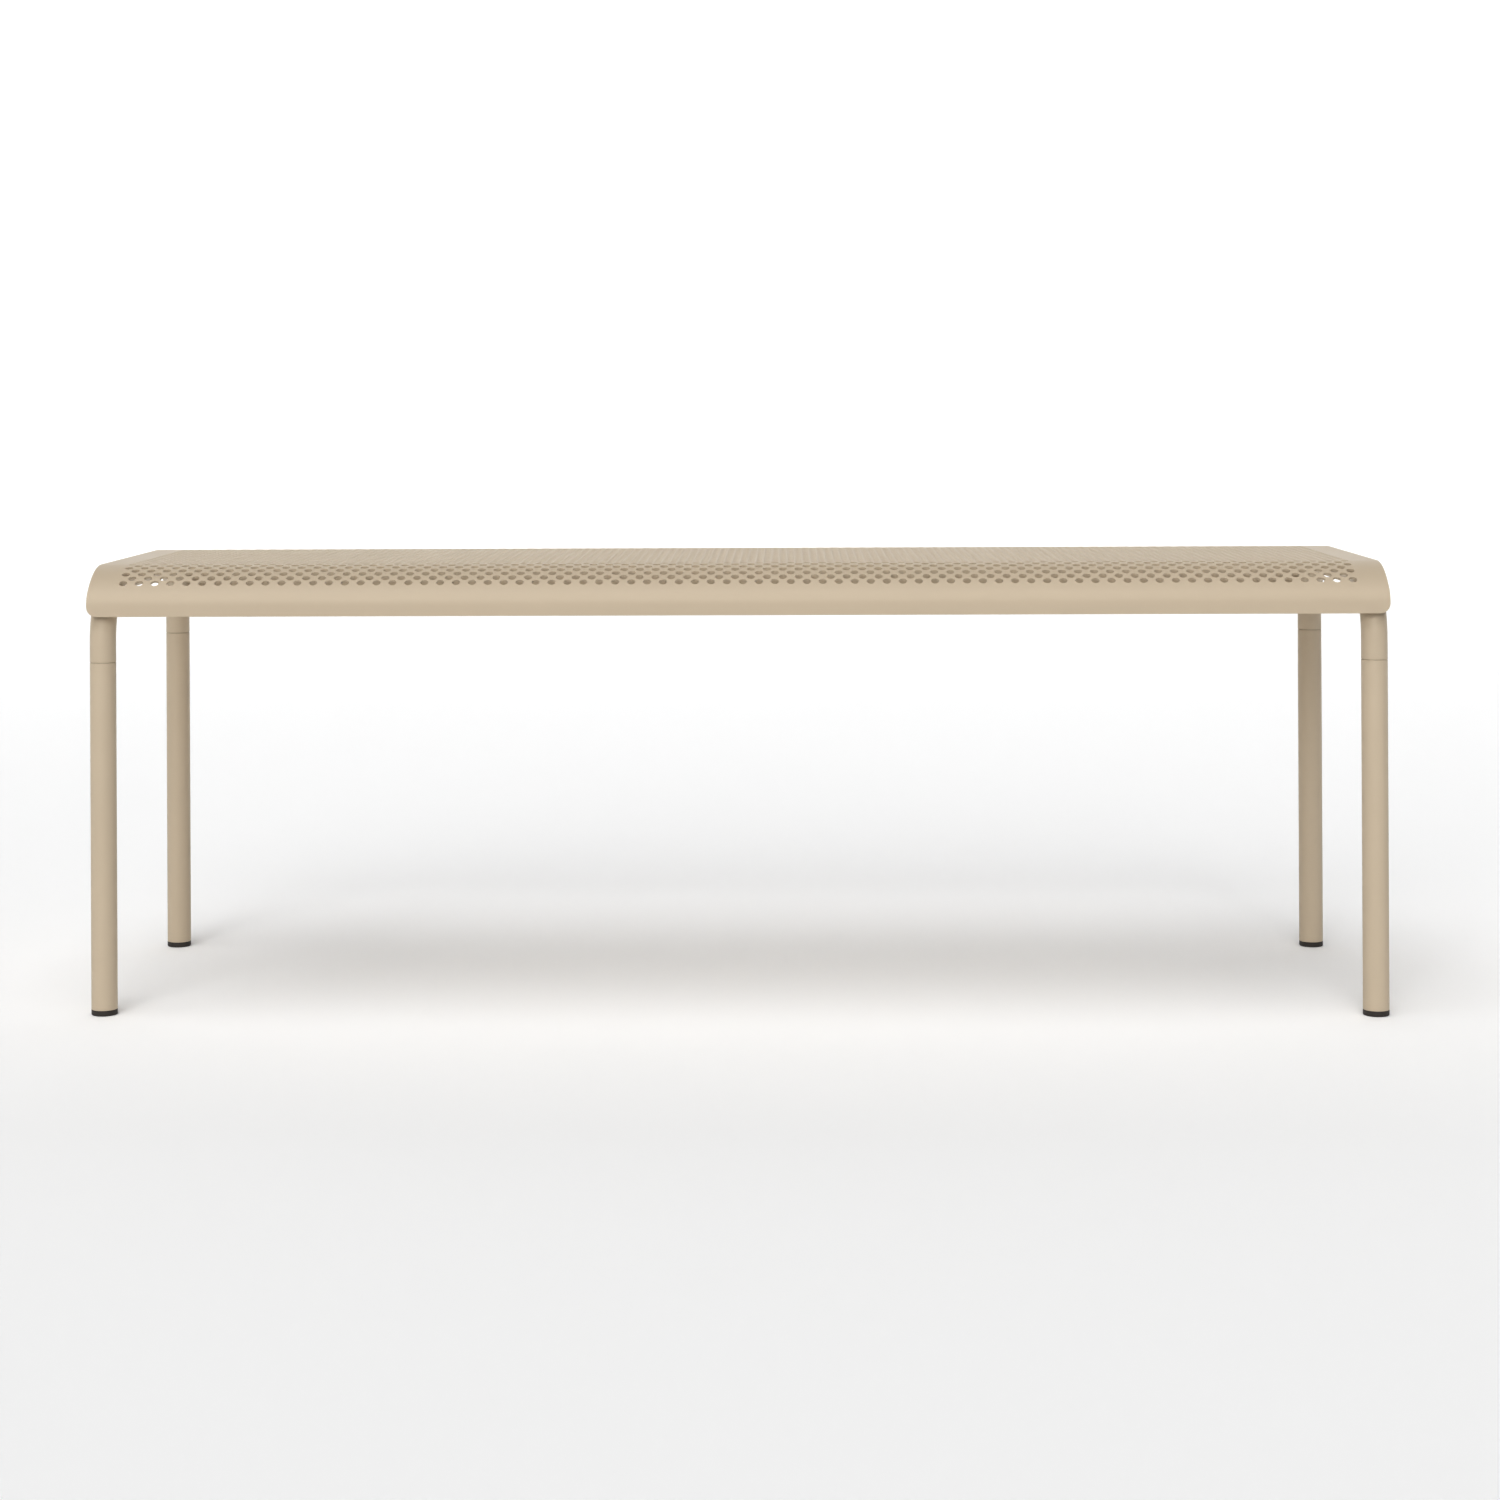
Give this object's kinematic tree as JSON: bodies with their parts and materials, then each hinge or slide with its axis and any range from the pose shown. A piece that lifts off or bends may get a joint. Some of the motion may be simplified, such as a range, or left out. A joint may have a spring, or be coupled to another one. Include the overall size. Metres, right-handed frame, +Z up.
{
  "type": "backless bench",
  "caption": "Backless street bench: perforated folded sheet-steel seat on two bent tube hoops, with round legs that screw off.",
  "frame": {"origin": "on the floor, under the middle of the seat", "axes": "+Z up, X along the seat, -Y towards the front"},
  "size_m": [1.3, 0.4, 0.45],
  "materials": {
    "powder_coat": "satin beige powder coat, fine orange peel",
    "zinc_steel": "bright zinc plating",
    "dark_nylon": "moulded dark nylon, matt",
    "pale_nylon": "moulded beige nylon, matt"
  },
  "bodies": {
    "bench": {"seat_panel": "powder_coat", "left_hoop": "powder_coat", "left_hoop_welds": "powder_coat", "right_hoop": "powder_coat", "right_hoop_welds": "powder_coat", "front_left_joint_bush": "zinc_steel", "front_right_joint_bush": "zinc_steel", "back_left_joint_bush": "zinc_steel", "back_right_joint_bush": "zinc_steel"},
    "front_left_washer": {"front_left_joint_washer": "pale_nylon"},
    "front_left_screwed_leg": {"front_left_leg": "powder_coat", "front_left_leg_plug": "zinc_steel", "front_left_leg_stud": "zinc_steel", "front_left_glide": "dark_nylon"},
    "front_right_washer": {"front_right_joint_washer": "pale_nylon"},
    "front_right_screwed_leg": {"front_right_leg": "powder_coat", "front_right_leg_plug": "zinc_steel", "front_right_leg_stud": "zinc_steel", "front_right_glide": "dark_nylon"},
    "back_left_washer": {"back_left_joint_washer": "pale_nylon"},
    "back_left_screwed_leg": {"back_left_leg": "powder_coat", "back_left_leg_plug": "zinc_steel", "back_left_leg_stud": "zinc_steel", "back_left_glide": "dark_nylon"},
    "back_right_washer": {"back_right_joint_washer": "pale_nylon"},
    "back_right_screwed_leg": {"back_right_leg": "powder_coat", "back_right_leg_plug": "zinc_steel", "back_right_leg_stud": "zinc_steel", "back_right_glide": "dark_nylon"}
  },
  "joints": [
    {"name": "front_left_leg_drop", "type": "slide", "parent": "bench", "child": "front_left_washer", "axis": [0, 0, -1], "range_m": [0, 0.016]},
    {"name": "front_left_leg_turn", "type": "hinge", "parent": "front_left_washer", "child": "front_left_screwed_leg", "pos_m": [-0.637, -0.183, 0.3545], "axis": [0, 0, -1], "range_deg": [0, 3841]},
    {"name": "front_right_leg_drop", "type": "slide", "parent": "bench", "child": "front_right_washer", "axis": [0, 0, -1], "range_m": [0, 0.016]},
    {"name": "front_right_leg_turn", "type": "hinge", "parent": "front_right_washer", "child": "front_right_screwed_leg", "pos_m": [0.637, -0.183, 0.3545], "axis": [0, 0, -1], "range_deg": [0, 3841]},
    {"name": "back_left_leg_drop", "type": "slide", "parent": "bench", "child": "back_left_washer", "axis": [0, 0, -1], "range_m": [0, 0.016]},
    {"name": "back_left_leg_turn", "type": "hinge", "parent": "back_left_washer", "child": "back_left_screwed_leg", "pos_m": [-0.637, 0.183, 0.3545], "axis": [0, 0, -1], "range_deg": [0, 3841]},
    {"name": "back_right_leg_drop", "type": "slide", "parent": "bench", "child": "back_right_washer", "axis": [0, 0, -1], "range_m": [0, 0.016]},
    {"name": "back_right_leg_turn", "type": "hinge", "parent": "back_right_washer", "child": "back_right_screwed_leg", "pos_m": [0.637, 0.183, 0.3545], "axis": [0, 0, -1], "range_deg": [0, 3841]}
  ],
  "couplings": [
    {"joint": "front_left_leg_turn", "follows": "front_left_leg_drop", "rad_per_m": 4188.8},
    {"joint": "front_right_leg_turn", "follows": "front_right_leg_drop", "rad_per_m": 4188.8},
    {"joint": "back_left_leg_turn", "follows": "back_left_leg_drop", "rad_per_m": 4188.8},
    {"joint": "back_right_leg_turn", "follows": "back_right_leg_drop", "rad_per_m": 4188.8}
  ]
}
